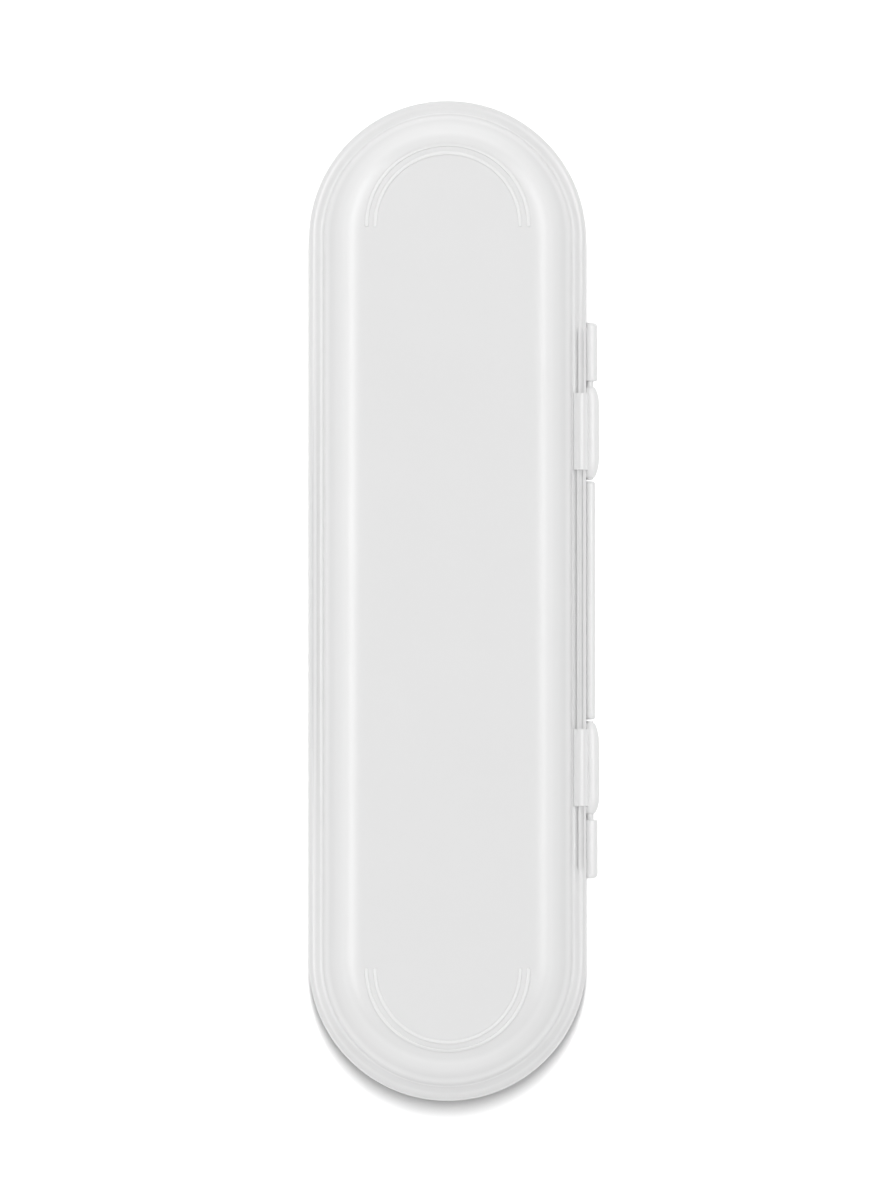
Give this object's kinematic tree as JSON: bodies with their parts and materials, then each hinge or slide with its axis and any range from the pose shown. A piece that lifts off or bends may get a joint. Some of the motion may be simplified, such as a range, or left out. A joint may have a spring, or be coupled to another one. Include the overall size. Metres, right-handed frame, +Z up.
{
  "type": "travel cutlery case",
  "caption": "Slim stadium-shaped travel case in frosted translucent plastic, with a domed lid on a clip-over pin hinge along one long side.",
  "frame": {"origin": "centre of the base's flat outer face, under the middle of the shell (the hinge is left out of that centre)", "axes": "+Z up out of the base towards the lid, +Y along the length, +X towards the hinge; the case opens from -X"},
  "size_m": [0.0639, 0.22, 0.0282],
  "materials": {
    "frosted_polypropylene": "satin"
  },
  "bodies": {
    "base": {"base_shell": "frosted_polypropylene", "left_hinge_lug": "frosted_polypropylene", "right_hinge_lug": "frosted_polypropylene", "hinge_bar": "frosted_polypropylene", "left_hinge_pin": "frosted_polypropylene", "right_hinge_pin": "frosted_polypropylene", "hinge_stiffener": "frosted_polypropylene", "snap_ridge": "frosted_polypropylene"},
    "lid": {"lid_shell": "frosted_polypropylene", "snap_lip": "frosted_polypropylene", "left_hinge_hook": "frosted_polypropylene", "right_hinge_hook": "frosted_polypropylene", "left_outer_rib": "frosted_polypropylene", "left_inner_rib": "frosted_polypropylene", "right_outer_rib": "frosted_polypropylene", "right_inner_rib": "frosted_polypropylene"}
  },
  "joints": [
    {"name": "lid_hinge", "type": "hinge", "parent": "base", "child": "lid", "pos_m": [0.0312, 0, 0.01413], "axis": [0, 1, 0], "range_deg": [0, 180]}
  ]
}
